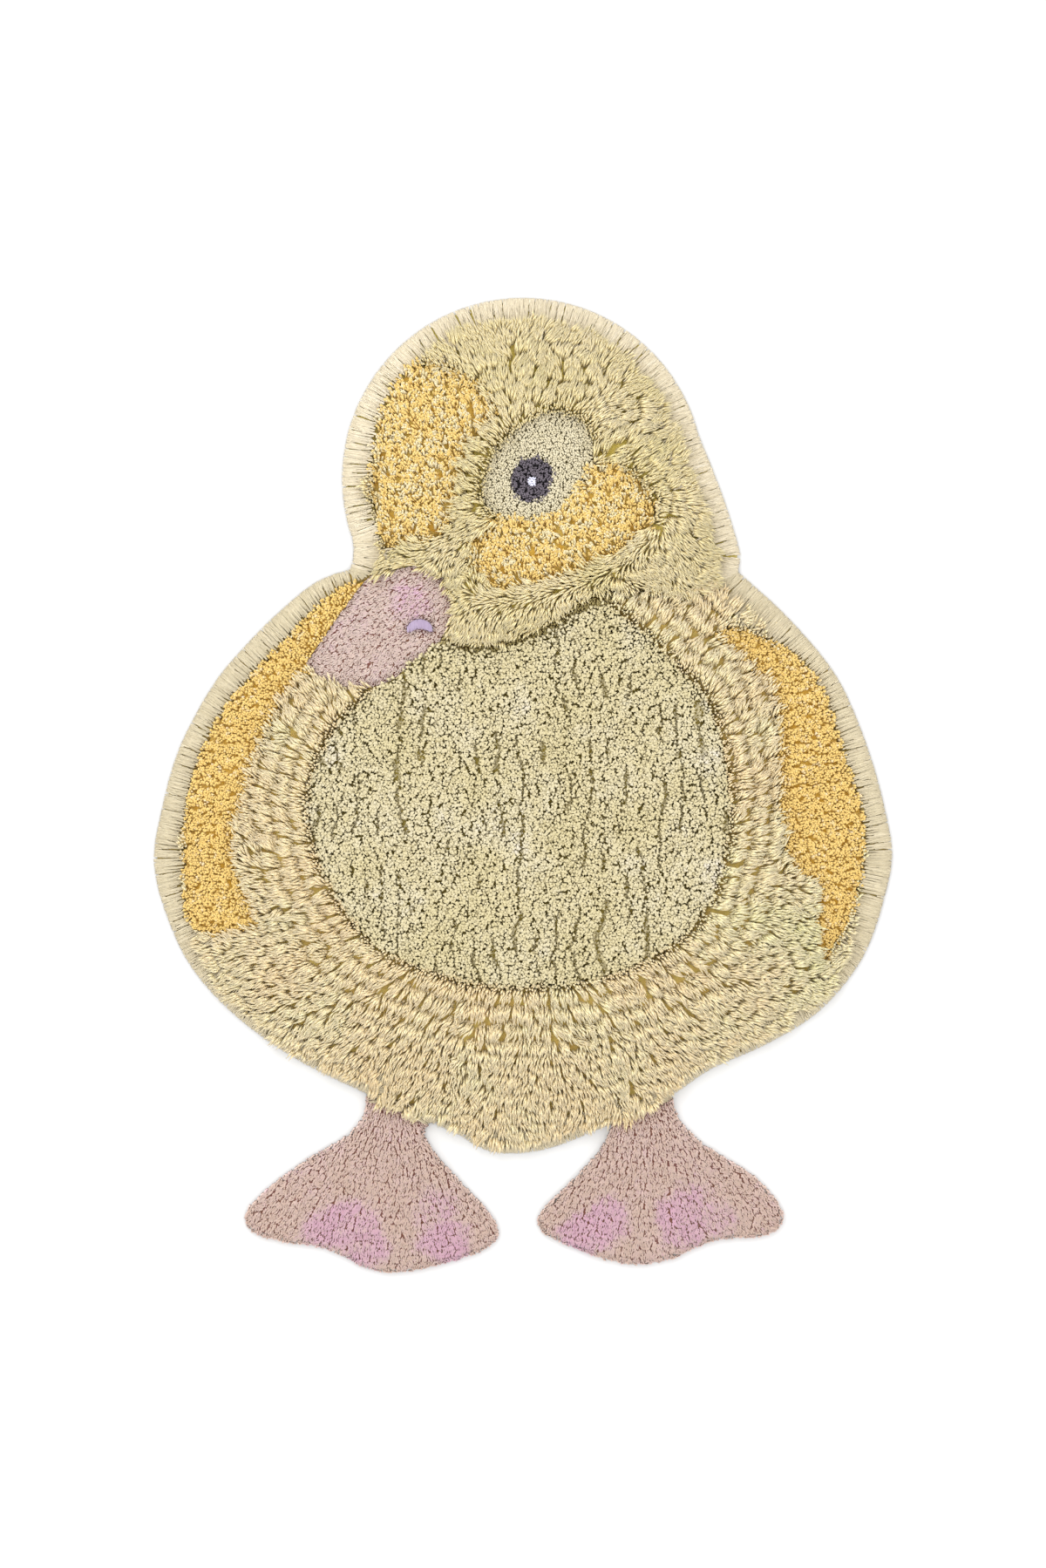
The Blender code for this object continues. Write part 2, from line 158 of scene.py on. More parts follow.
def nearest_edge(points, loops):
    """Each point's distance to the loops, the unit direction to the nearest place, and how far along
    the loops that place is."""
    best = np.full(len(points), np.inf)
    towards = np.zeros((len(points), 2))
    place = np.zeros(len(points))
    start = 0.0
    for loop in loops:
        for a, b in zip(loop, np.roll(loop, -1, axis=0)):
            along = b - a
            length = math.hypot(*along)
            share = np.clip((points - a) @ along / max(length * length, 1e-12), 0, 1)
            gap = a + share[:, None] * along - points
            distance = np.hypot(gap[:, 0], gap[:, 1])
            closer = distance < best
            best[closer] = distance[closer]
            towards[closer] = gap[closer]
            place[closer] = start + share[closer] * length
            start += length
    return best, towards / np.maximum(best, 1e-9)[:, None], place


LOOPS = {name: outline_loops(name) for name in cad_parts}
RUG_OUTLINE = [shrunk(LOOPS["ground_cloth"][0], -CLOTH_INSET)]


# ---------------------------------------------------------------- randomness over the plane
def smoothstep(low, high, value):
    """0 at low and 1 at high, rising smoothly between them. Either of the two can be the larger."""
    t = np.clip((value - low) / (high - low), 0, 1)
    return t * t * (3 - 2 * t)


def soft_noise(points, size, seed):
    """Smooth random values from -1 to 1 over the plane, with features about one size across."""
    lattice = np.random.default_rng(seed).uniform(-1, 1, (NOISE_CELLS, NOISE_CELLS))
    at = points / size + NOISE_SHIFT
    cell = np.floor(at).astype(int)
    t = at - cell
    t = t * t * (3 - 2 * t)
    i, j = cell[:, 0] % NOISE_CELLS, cell[:, 1] % NOISE_CELLS
    i2, j2 = (i + 1) % NOISE_CELLS, (j + 1) % NOISE_CELLS
    low = lattice[i, j] * (1 - t[:, 0]) + lattice[i2, j] * t[:, 0]
    high = lattice[i, j2] * (1 - t[:, 0]) + lattice[i2, j2] * t[:, 0]
    return low * (1 - t[:, 1]) + high * t[:, 1]


def nearest_tuft(places, seed, jitter):
    """For places measured in tufts: the offset from the nearest tuft's middle, how clear the place is
    of that tuft's border and of its corners, and the tuft's number."""
    shift = np.random.default_rng(seed).uniform(-1, 1, (*TUFT_GRID, 2)) * np.array(jitter)
    steps = np.array([(i, j) for i in (-1, 0, 1) for j in (-1, 0, 1)])
    cells = np.floor(places).astype(int) + steps[:, None]
    i, j = cells[..., 0] % TUFT_GRID[0], cells[..., 1] % TUFT_GRID[1]
    gaps = places - (cells + 0.5 + shift[i, j])
    distances = np.linalg.norm(gaps, axis=-1)
    first, second, third = np.partition(distances, (0, 1, 2), axis=0)[:3]
    nearest, here = distances.argmin(axis=0), np.arange(len(places))
    return gaps[nearest, here], second - first, third - first, (i * TUFT_GRID[1] + j)[nearest, here]


def tuft_moods(number, kinds, rng):
    """Normal random values that the strands of one tuft share: strands x kinds."""
    return rng.normal(size=(TUFT_GRID[0] * TUFT_GRID[1], kinds))[number]


def turned(directions, degrees):
    """The directions turned to the left."""
    c, s = np.cos(np.radians(degrees)), np.sin(np.radians(degrees))
    x, y = directions[:, 0], directions[:, 1]
    return np.stack([x * c - y * s, x * s + y * c], axis=1)


def unit(vectors):
    return vectors / np.maximum(np.linalg.norm(vectors, axis=-1, keepdims=True), 1e-9)


def roots_in(loops, spacing, inset, rng):
    """Places on a jittered triangular grid inside the loops and at least inset from their edge."""
    low, high = loops[0].min(0), loops[0].max(0)
    rise = spacing * math.sqrt(0.75)
    columns = int((high[0] - low[0]) / spacing) + 2
    lines = int((high[1] - low[1]) / rise) + 2
    i, j = np.meshgrid(np.arange(columns), np.arange(lines), indexing="ij")
    grid = np.stack([(i + 0.5 * (j % 2)) * spacing, j * rise], axis=-1).reshape(-1, 2) + low
    grid += rng.uniform(-ROOT_JITTER, ROOT_JITTER, grid.shape) * spacing
    grid = grid[inside(grid, loops)]
    return grid[nearest_edge(grid, loops)[0] > inset]


# ---------------------------------------------------------------- strand meshes
def strand_template(rings):
    """Triangles of one closed strand, and each corner's place in a cell of the material's map."""
    faces, corners = [], []
    last = len(rings) - 1
    for level in range(last):
        v0, v1 = rings[level][0], rings[level + 1][0]
        for side in range(SIDES):
            a, b = level * SIDES + side, level * SIDES + (side + 1) % SIDES
            left, right = side / SIDES, (side + 1) / SIDES
            if level + 1 < last:
                c, d = a + SIDES, b + SIDES
                faces += [(a, b, d), (a, d, c)]
                corners += [((left, v0), (right, v0), (right, v1)), ((left, v0), (right, v1), (left, v1))]
            else:
                faces.append((a, b, last * SIDES))
                corners.append(((left, v0), (right, v0), ((left + right) / 2, v1)))
    faces.append((2, 1, 0))  # closes the strand at its root
    corners.append(((0.9, 0.0), (0.5, 0.03), (0.1, 0.0)))
    return np.array(faces), np.array(corners)


def strand_points(paths, radii, spin):
    """Corner points of many strands. paths is strands x rings x 3, and radii strands x rings."""
    count, rings, _ = paths.shape
    reach = paths[:, -1, :2] - paths[:, 0, :2]
    side = unit(np.stack([-reach[:, 1], reach[:, 0], np.full(count, 1e-6)], axis=1))
    points = []
    for ring in range(rings - 1):
        tangent = unit(paths[:, ring + 1] - paths[:, max(ring - 1, 0)])
        across = unit(side - np.sum(side * tangent, axis=1, keepdims=True) * tangent)
        up = np.cross(tangent, across)
        for corner in range(SIDES):
            turn = spin + corner * 2 * math.pi / SIDES
            ray = np.cos(turn)[:, None] * across + np.sin(turn)[:, None] * up
            points.append(paths[:, ring] + radii[:, ring, None] * ray)
    points.append(paths[:, -1])
    return np.stack(points, axis=1)


def within_cloth(loop):
    """The loop, held back by the cloth's inset where it follows the rug's outline."""
    distance, out, _ = nearest_edge(loop, RUG_OUTLINE)
    return loop - CLOTH_INSET * smoothstep(0.004, 0.002, distance)[:, None] * out


def pile_foot(loops, top, slope=0.0, bottom=ROOT_Z):
    """The dense foot of the pile as one low closed slab: its points and its triangles.

    With a slope, the slab is thin at its edges, and reaches its top only that far in from the rug's.
    """
    loops = [within_cloth(shrunk(loop, FOOT_INSET)) for loop in loops]
    flat, edges = np.vstack(loops), []
    for loop in loops:
        start, size = len(edges), len(loop)
        edges += [(start + i, start + (i + 1) % size) for i in range(size)]
    if slope:
        flat = np.vstack([flat, roots_in(loops, SLOPE_SPACING, SLOPE_INSET, np.random.default_rng(3))])
    made = geometry.delaunay_2d_cdt([Vector(place) for place in flat], edges, [], 0, 1e-6)
    flat, fills = np.array([tuple(place) for place in made[0]]), np.array(made[2])
    fills = fills[inside(flat[fills].mean(axis=1), loops)]
    ab, ac = flat[fills[:, 1]] - flat[fills[:, 0]], flat[fills[:, 2]] - flat[fills[:, 0]]
    clockwise = ab[:, 0] * ac[:, 1] < ab[:, 1] * ac[:, 0]
    fills[clockwise] = fills[clockwise][:, ::-1]
    count = len(flat)
    tops = np.full(count, top)
    if slope:
        thin = bottom + THIN_FOOT
        rising = smoothstep(0.008, slope, nearest_edge(flat, RUG_OUTLINE)[0])
        rising *= smoothstep(-0.006, 0.008, nearest_edge(flat, loops)[0])
        tops = thin + (top - thin) * rising
    points = np.vstack([np.column_stack([flat, heights]) for heights in (np.full(count, bottom), tops)])
    sides = {(int(a), int(b)) for face in fills for a, b in zip(face, np.roll(face, -1))}
    walls = [(a, b) for a, b in sorted(sides) if (b, a) not in sides]
    walls = [face for a, b in walls for face in ((a, b, b + count), (a, b + count, a + count))]
    return points, np.vstack([fills + count, fills[:, ::-1], walls])


def triangle_mesh(name, points, faces, uv):
    """An object from plain arrays. uv is faces x 3 x 2, and goes into the map that the material reads."""
    mesh = bpy.data.meshes.new(name)
    mesh.vertices.add(len(points))
    mesh.vertices.foreach_set("co", np.asarray(points, np.float32).ravel())
    mesh.loops.add(len(faces) * 3)
    mesh.loops.foreach_set("vertex_index", np.asarray(faces, np.int32).ravel())
    mesh.polygons.add(len(faces))
    mesh.polygons.foreach_set("loop_start", np.arange(0, len(faces) * 3, 3, dtype=np.int32))
    layer = mesh.uv_layers.new(name="OFBake")
    layer.uv.foreach_set("vector", np.asarray(uv, np.float32).ravel())
    mesh.update(calc_edges=True)
    mesh.polygons.foreach_set("use_smooth", np.ones(len(faces), bool))
    obj = bpy.data.objects.new(name, mesh)
    bpy.context.scene.collection.objects.link(obj)
    return obj


def strands_object(name, rings, paths, thickness, tones, spin, foot=None):
    """One joined mesh of strands, each in the column of its tone, with the pile's foot if given."""
    template, corners = strand_template(rings)
    radii = thickness[:, None] * np.array([share for _, share in rings])
    points = strand_points(paths, radii, spin)
    count, per = points.shape[:2]
    faces = (template[None] + (np.arange(count) * per)[:, None, None]).reshape(-1, 3)
    column = np.clip((tones * TONES).astype(int), 0, TONES - 1)
    uv = np.repeat(corners[None], count, axis=0)
    uv[..., 0] = (column[:, None, None] + COLUMN_MARGIN + (1 - 2 * COLUMN_MARGIN) * uv[..., 0]) / TONES
    uv[..., 1] = STRAND_V[0] + (STRAND_V[1] - STRAND_V[0]) * uv[..., 1]
    points, uv = points.reshape(-1, 3), uv.reshape(-1, 3, 2)
    if foot:
        foot_points, foot_faces = foot
        faces = np.vstack([faces, foot_faces + len(points)])
        points = np.vstack([points, foot_points])
        # The foot takes the darkest part of the map: painted shade in the gaps between the strands
        low, high = FOOT_V
        patch = np.array([(0.02, low), (0.98, low), (0.5, high)])
        uv = np.vstack([uv, np.repeat(patch[None], len(foot_faces), axis=0)])
    made = triangle_mesh(name, points, faces, uv)
    print(f"{name}: {count} strands, {len(faces)} triangles")
    return made


# ---------------------------------------------------------------- combing
# A comb takes points and returns their place across and along the tufts' rows, the unit direction
# across the rows, and the direction in which the strands lean, shorter where they lean less.
def upright_comb(heading_deg, warp=0.0, seed=0):
    """Rows along Y, a little wavy, and every strand leaning one way."""
    def comb(points):
        rows = points.copy()
        if warp:
            rows[:, 0] += warp * soft_noise(points, 0.09, seed)
        across = np.tile([1.0, 0.0], (len(points), 1))
        lean = turned(across, np.full(len(points), heading_deg))
        return rows, across, lean
    return comb


def radial_comb(centre, ring):
    """Rows round a centre, and strands leaning away from it. At the distance ring from the centre, a tuft
    has its full size along its row."""
    def comb(points):
        gap = points - centre
        out = unit(gap)
        turn = np.arctan2(gap[:, 1], gap[:, 0])
        return np.column_stack([np.linalg.norm(gap, axis=1), turn * ring]), out, out
    return comb


def head_comb(points):
    """Rows round the eye, and strands leaning away from it: less beside the neck, and right below the
    cheek along its edge and a little over it."""
    rows, out, lean = radial_comb(EYE, 0.16)(points)
    beside_neck = smoothstep(0.022, 0.006, nearest_edge(points, LOOPS["neck_pile"])[0])
    distance, towards, _ = nearest_edge(points, LOOPS["cheek_pile"][:1])
    below_cheek = smoothstep(0.034, 0.004, distance) * smoothstep(0.2, 0.6, towards[:, 1])
    along_cheek = 0.35 * towards + 0.90 * turned(towards, 90.0)
    lean = unit(lean + below_cheek[:, None] * (along_cheek - lean))
    return rows, out, lean * (1 - 0.30 * beside_neck)[:, None]


def roll_parting(points):
    """0 to 1 in the parting outside the roll of pile along the right of the eye patch and the cheek."""
    gaps = [nearest_edge(points, LOOPS[node][:1])[0] for node in ("eye_patch_pile", "cheek_pile")]
    off = np.abs(np.minimum(*gaps) - 0.020 - 0.004 * soft_noise(points, 0.03, 23))
    right = smoothstep(0.06, 0.10, points[:, 0]) * smoothstep(0.36, 0.40, points[:, 1])
    return 0.5 * smoothstep(0.0038, 0.0012, off) * right


def body_comb(points):
    """Rows that follow the belly's edge, and strands leaning outwards, upwards too at the sides."""
    distance, towards, _ = nearest_edge(points, LOOPS["belly_pile"][:1])
    distance = distance + 0.006 * soft_noise(points, 0.07, 21)
    gap = points - BODY_MIDDLE
    out = unit(unit(gap) - 0.8 * towards)
    turn = np.arctan2(gap[:, 1], gap[:, 0])
    lean = unit(out + np.column_stack([np.zeros(len(points)), 0.55 * np.abs(out[:, 0])]))
    finer = np.maximum(distance - RINGS_REACH, 0)
    return np.column_stack([distance + 0.9 * finer, turn * BODY_RING]), out, lean


def ring_groove(points):
    """How deep the partings between the rows round the belly are: deep and broken, then fading."""
    distance = nearest_edge(points, LOOPS["belly_pile"][:1])[0]
    near = smoothstep(RINGS_REACH + 0.02, RINGS_REACH - 0.02, distance) * smoothstep(0.004, 0.016, distance)
    return 0.08 + near * (0.34 + 0.10 * soft_noise(points, 0.03, 22))


def ring_draw(points):
    """How far roots are pulled to their row's inner side: far in the clear rows round the belly."""
    distance = nearest_edge(points, LOOPS["belly_pile"][:1])[0]
    return 0.10 + 0.23 * smoothstep(RINGS_REACH + 0.02, RINGS_REACH - 0.02, distance)


def head_draw(points):
    """The same on the head: less towards the rim and the neck."""
    off_rim = smoothstep(RIM_WIDTH - 0.01, RIM_WIDTH + 0.04, nearest_edge(points, RUG_OUTLINE)[0])
    return 0.24 * off_rim * smoothstep(0.01, 0.07, nearest_edge(points, LOOPS["neck_pile"])[0])


def wavy_cracks(points, pitch, width, seed):
    """0 to 1 for places in broken wavy partings that run along Y, about one pitch apart."""
    at = points[:, 0] / pitch + 0.5 * soft_noise(points, 0.08, seed)
    at += 0.16 * soft_noise(points, 0.016, seed + 2)
    off = np.abs(at - np.round(at)) * pitch
    broken = smoothstep(0.0, 0.2, soft_noise(points * (1.0, 0.6), 0.030, seed + 1))
    return smoothstep(width, 0.3 * width, off) * broken


def pile_field(name, node, seed, spacing, tuft, lean, radius, tone, comb, proud=0.0,
               rings=SHORT_RINGS, gather=0.2, draw=0.0, rounding=0.0, splay=0.0, scatter=0.0005,
               border=0.10, border_drop=0.06, pit=0.17, pit_drop=0.60, jitter=(0.34, 0.34), groove=None,
               crack=None, tone_spread=0.05, tuft_tone=0.06, sway_deg=16.0, unruly_deg=6.0,
               swirl_deg=0.0, bend=1.6, keep=None, hold=0.8, overhang_cut=0.0, spill=0.0025,
               foot_share=0.42, foot_slope=0.0, height_scatter=0.04):
    """One field of pile, which stands as high as its CAD node and proud above that.

    tuft is a tuft's size across and along its row, jitter the share of it by which a tuft strays, and
    lean how far its tips are combed over. gather draws the strands' roots together in their tuft, draw
    pulls them to its inner side so that their tips end together as one step, rounding shortens the lean
    of those at its sides, splay spreads the tips, and scatter is how far a single tip strays. A strand
    leans later in its length with a larger bend.

    Strands within border of the next tuft are lower by border_drop, those within pit of a corner where
    three tufts meet by pit_drop, and those at a row's inner side by groove. crack gives 0 to 1 for places
    where the pile parts. height_scatter is how much single strands differ in height. The comb's
    directions are turned by swirl_deg from place to place, by sway_deg from tuft to tuft and by
    unruly_deg from strand to strand.

    Beside the field's edge, strands combed away from it are held back by hold and those combed over it by
    overhang_cut, and tips spill over it by about spill. tone is the yarn's place among the material's
    tones, tuft_tone how much tufts differ in it, and tone_spread how much strands do. keep picks the
    roots that stay. The foot takes up foot_share of the pile's height, with the slope foot_slope.
    """
    rng = np.random.default_rng(seed)
    loops = LOOPS[node]
    roots = roots_in(loops, spacing, ROOT_INSET, rng)
    if keep is not None:
        roots = roots[keep(roots)]
    rows, across, combed = comb(roots)
    along = turned(across, 90.0)
    offset, clear, corner, number = nearest_tuft(rows / np.array(tuft), seed + 1, jitter)
    mood = tuft_moods(number, 4, rng)
    count = len(roots)
    own = offset[:, :1] * tuft[0] * across + offset[:, 1:] * tuft[1] * along
    swirl = swirl_deg * soft_noise(roots, 0.055, seed + 2)
    tips = turned(combed, swirl + sway_deg * mood[:, 0] + unruly_deg * rng.normal(size=count))
    edge_gap, towards, _ = nearest_edge(roots, loops)
    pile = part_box(node)[1].z + proud - CLOTH_TOP
    tall = pile * (1 - border_drop * smoothstep(border, 0, clear))
    tall *= 1 - pit_drop * smoothstep(pit, 0, corner)
    if groove is not None:
        tall *= 1 - groove(roots) * smoothstep(-0.06, -0.40, offset[:, 0])
    if crack is not None:
        tall *= 1 - 0.65 * crack(roots)
    tall *= 1 + 0.7 * height_scatter * mood[:, 2] + height_scatter * rng.normal(size=count)
    tall = np.clip(tall, 0.25 * pile, 1.12 * pile)
    facing = np.sum(towards * tips, axis=1)
    restraint = hold * np.clip(-facing, 0, 1) + overhang_cut * np.clip(facing, 0, 1)
    reach = lean * (1 + 0.15 * mood[:, 1]) * (1 - restraint * smoothstep(0.014, 0.001, edge_gap))
    reach *= 1 - rounding * np.clip(2 * offset[:, 1], -1, 1) ** 2
    tips *= (reach * (0.3 + 0.7 * tall / pile))[:, None]
    ragged = np.clip(0.6 + 0.7 * mood[:, 2] + 0.3 * rng.normal(size=count), 0, 2)
    tips += towards * (spill * ragged * smoothstep(0.006, 0, edge_gap))[:, None]
    tips += own * (splay + gather) + rng.normal(size=(count, 2)) * scatter
    shares = np.array([share for share, _ in rings])
    drawn = draw(roots) if callable(draw) else draw
    pull = np.minimum(drawn * (offset[:, 0] + 0.5) * tuft[0], np.maximum(edge_gap - 0.001, 0))
    start = roots - gather * own - pull[:, None] * across
    flat = start[:, None] + tips[:, None] * (shares**bend)[None, :, None]
    rise = ROOT_Z + tall[:, None] * shares * (1.25 - 0.25 * shares)
    paths = np.concatenate([flat, rise[..., None]], axis=-1)
    tones = tone(roots, rng) if callable(tone) else np.full(count, tone)
    tones = np.clip(tones + tuft_tone * mood[:, 3] + tone_spread * rng.normal(size=count), 0.001, 0.999)
    thickness = radius * rng.uniform(0.8, 1.2, count)
    base = pile_foot(loops, CLOTH_TOP + foot_share * pile, foot_slope) if foot_share else None
    return strands_object(name, rings, paths, thickness, tones, rng.uniform(0, 2 * math.pi, count), base)


def rim_width(points):
    """How long the strands combed outwards at the rug's edge are: shorter low on the body."""
    low = smoothstep(-0.16, -0.32, points[:, 1])
    return RIM_WIDTH - (RIM_WIDTH - LOW_RIM_WIDTH) * low


def rim_field(name, node, seed, tone, top, spacing=0.0046, radius=0.0012, sway_deg=3.0, unruly_deg=2.0):
    """The strands at the rug's edge: combed straight outwards and cut off clean along the outline.

    They stand twice as close where they begin beside a lower field. Each rises at its root to the rim's
    sloping surface, whose inner side is as high as top, and then follows that outwards. Strands of one
    lock lie together, its middle highest.
    """
    rng = np.random.default_rng(seed)
    roots = roots_in(LOOPS[node], spacing, ROOT_INSET, rng)
    beside_field = nearest_edge(roots, LOOPS[node])[0] < 0.012
    inner_end = beside_field & (nearest_edge(roots, RUG_OUTLINE)[0] > 0.020)
    extra = roots[inner_end]
    roots = np.vstack([roots, extra + rng.uniform(-0.0015, 0.0015, extra.shape)])
    depth, out, place = nearest_edge(roots, RUG_OUTLINE)
    width = rim_width(roots)
    thinning = smoothstep(width + RIM_MERGE, width, depth)
    chosen = (rng.random(len(roots)) < thinning) & (depth > 0.003)
    roots, depth, out, place, width = (v[chosen] for v in (roots, depth, out, place, width))
    count = len(roots)
    rows = np.column_stack([depth, place]) / np.array(RIM_LOCK)
    offset, _, _, number = nearest_tuft(rows, seed + 1, (0.38, 0.38))
    mood = tuft_moods(number, 3, rng)
    gather = 0.10 + 0.08 * smoothstep(0.0, 0.012, nearest_edge(roots, LOOPS[node])[0])
    start = roots - gather[:, None] * offset[:, 1:] * RIM_LOCK[1] * turned(out, 90.0)
    aim = turned(out, sway_deg * mood[:, 0] + unruly_deg * rng.normal(size=count))
    reach = np.minimum(depth - 0.0003 - 0.0008 * rng.random(count), width * rng.uniform(0.85, 1.0, count))
    out_share = np.array([0.0, 0.04, 0.86, 1.0])
    flat = start[:, None] + (aim * reach[:, None])[:, None] * out_share[None, :, None]
    depth_share = np.clip((depth[:, None] - reach[:, None] * out_share) / width[:, None], 0, 1)
    lying = (1 - 0.10 * rng.random(count)) * (1 + 0.03 * mood[:, 1])
    lying *= 1 - 0.16 * smoothstep(0.20, 0.50, np.abs(offset[:, 1]))
    rise = RIM_END + (top - RIM_END) * depth_share**0.85 * lying[:, None]
    rise[:, 0] = ROOT_Z
    paths = np.concatenate([flat, rise[..., None]], axis=-1)
    tones = np.clip(tone + 0.05 * mood[:, 2] + 0.06 * rng.normal(size=count), 0.001, 0.999)
    thickness = radius * rng.uniform(0.8, 1.2, count)
    return strands_object(name, RIM_RINGS, paths, thickness, tones, rng.uniform(0, 2 * math.pi, count))


def span_at(loop, x):
    """The lowest and highest y at which a vertical line at x crosses the loop."""
    crossings = []
    for (ax, ay), (bx, by) in zip(loop, np.roll(loop, -1, axis=0)):
        if (ax < x) != (bx < x):
            crossings.append(ay + (x - ax) / (bx - ax) * (by - ay))
    return min(crossings), max(crossings)


def satin_stitches(name, node, seed, pitch, radius, proud, over_padding=0.0014, end_gap=0.0012):
    """Threads side by side over a padded field, each from its lower edge up over to its upper one.

    Their crowns stand proud above the CAD node, and over_padding above the padding. The first and last
    keep end_gap from the field's ends. All reach past its lower edge, more in the middle and on the left.
    """
    rng = np.random.default_rng(seed)
    loop = LOOPS[node][0]
    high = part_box(node)[1].z + proud
    low = high - over_padding
    xs = np.arange(loop[:, 0].min() + end_gap, loop[:, 0].max() - end_gap, pitch)
    spans = np.array([span_at(loop, x) for x in xs])
    off_middle = xs - loop[:, 0].mean()
    spans[:, 0] -= 0.0025 + 0.001 * smoothstep(-0.004, -0.014, off_middle)
    spans[:, 0] -= 0.0014 * smoothstep(0.012, 0.004, np.abs(off_middle))
    spans[:, 1] += 0.0004
    shares = np.array([share for share, _ in STITCH_RINGS])
    y = spans[:, :1] + (spans[:, 1:] - spans[:, :1]) * shares
    arch = np.sin(math.pi * (0.12 + 0.76 * shares)) ** 0.3
    crown = np.clip((spans[:, 1] - spans[:, 0]) / 0.007, 0.60, 1.0)
    z = low + (high - low) * arch * crown[:, None]
    slant = 0.0008 * rng.normal(size=(len(xs), 1)) * (shares - 0.5)
    paths = np.stack([xs[:, None] + slant, y, z], axis=-1)
    tones = np.clip(0.5 + 0.2 * rng.normal(size=len(xs)), 0.001, 0.999)
    thickness = np.full(len(xs), radius)
    base = pile_foot([shrunk(loop, 0.0004)], low)
    return strands_object(name, STITCH_RINGS, paths, thickness, tones, np.zeros(len(xs)), base)


# ---------------------------------------------------------------- materials
def linear(code):
    """A colour code such as DED9A0 as linear red, green, blue and 1."""
    parts = [int(code[i : i + 2], 16) / 255 for i in (0, 2, 4)]
    return (*(c / 12.92 if c < 0.04045 else ((c + 0.055) / 1.055) ** 2.4 for c in parts), 1.0)


def ramp(nodes, stops):
    """A colour ramp through (position, colour code) stops."""
    node = nodes.new("ShaderNodeValToRGB")
    elements = node.color_ramp.elements
    for _ in stops[2:]:
        elements.new(0.5)
    for element, (position, code) in zip(elements, stops):
        element.position = position
        element.color = linear(code)
    return node


def darker(code, share):
    """A colour code with each channel at this share of its value."""
    return "".join(f"{round(int(code[i : i + 2], 16) * share):02X}" for i in (0, 2, 4))


def maths(tree, operation, a, b):
    """A maths node's output. a and b are numbers or other nodes' outputs."""
    node = tree.nodes.new("ShaderNodeMath")
    node.operation = operation
    for socket, value in zip(node.inputs, (a, b)):
        if isinstance(value, (int, float)):
            socket.default_value = value
        else:
            tree.links.new(value, socket)
    return node.outputs[0]


def yarn(name, tones, root, tip, ends=(0.35, 0.70), roughness=0.95, sheen=0.12, streak=0.08, twist=6.0):
    """Yarn of several tones. Across the map lie the tones, and up it a strand from root to tip.

    root is shade painted on the strand low down, where neighbours shade it, and tip tints its frayed end;
    neither does between the two ends given as shares of its length. The dense foot is darker still, as
    painted shade in the gaps between strands.
    streak is how much the fibres along a strand differ, and twist how often its ply turns round it.
    """
    material = bpy.data.materials.new(name)
    material.use_nodes = True
    tree = material.node_tree
    nodes, links = tree.nodes, tree.links
    shader = nodes["Principled BSDF"]
    place = nodes.new("ShaderNodeUVMap")
    place.uv_map = "OFBake"
    split = nodes.new("ShaderNodeSeparateXYZ")
    links.new(place.outputs["UV"], split.inputs[0])
    across, up = split.outputs[0], split.outputs[1]
    tone = ramp(nodes, tones)
    links.new(across, tone.inputs["Fac"])
    # Painted shade: the root tint darkens a strand low down, and the foot is darker still, as shade between
    # strands
    foot, plain = darker(root, 0.94), "FFFFFF"
    shades = ((0.0, foot), (FOOT_V[1], foot), (STRAND_V[0], root),
              (ends[0], plain), (ends[1], plain), (1.0, tip))
    shade = ramp(nodes, shades)
    links.new(up, shade.inputs["Fac"])
    round_strand = maths(tree, "MULTIPLY", across, TONES * PLIES)
    turn = maths(tree, "ADD", round_strand, maths(tree, "MULTIPLY", up, twist))
    ply = maths(tree, "SINE", maths(tree, "MULTIPLY", turn, 2 * math.pi), 0.0)
    fibre = maths(tree, "ADD", 1.0 - streak, maths(tree, "MULTIPLY", ply, streak))
    coloured = nodes.new("ShaderNodeMix")
    coloured.data_type = "RGBA"
    coloured.blend_type = "MULTIPLY"
    coloured.inputs["Factor"].default_value = 1.0
    links.new(tone.outputs["Color"], coloured.inputs["A"])
    links.new(shade.outputs["Color"], coloured.inputs["B"])
    streaked = nodes.new("ShaderNodeVectorMath")
    streaked.operation = "SCALE"
    links.new(coloured.outputs["Result"], streaked.inputs[0])
    links.new(fibre, streaked.inputs["Scale"])
    links.new(streaked.outputs[0], shader.inputs["Base Color"])
    bump = nodes.new("ShaderNodeBump")
    bump.inputs["Strength"].default_value = 0.3
    bump.inputs["Distance"].default_value = 0.0003
    links.new(ply, bump.inputs["Height"])
    links.new(bump.outputs["Normal"], shader.inputs["Normal"])
    shader.inputs["Roughness"].default_value = roughness
    shader.inputs["Specular IOR Level"].default_value = 0.2
    shader.inputs["Sheen Weight"].default_value = sheen
    shader.inputs["Sheen Roughness"].default_value = 0.6
    return material


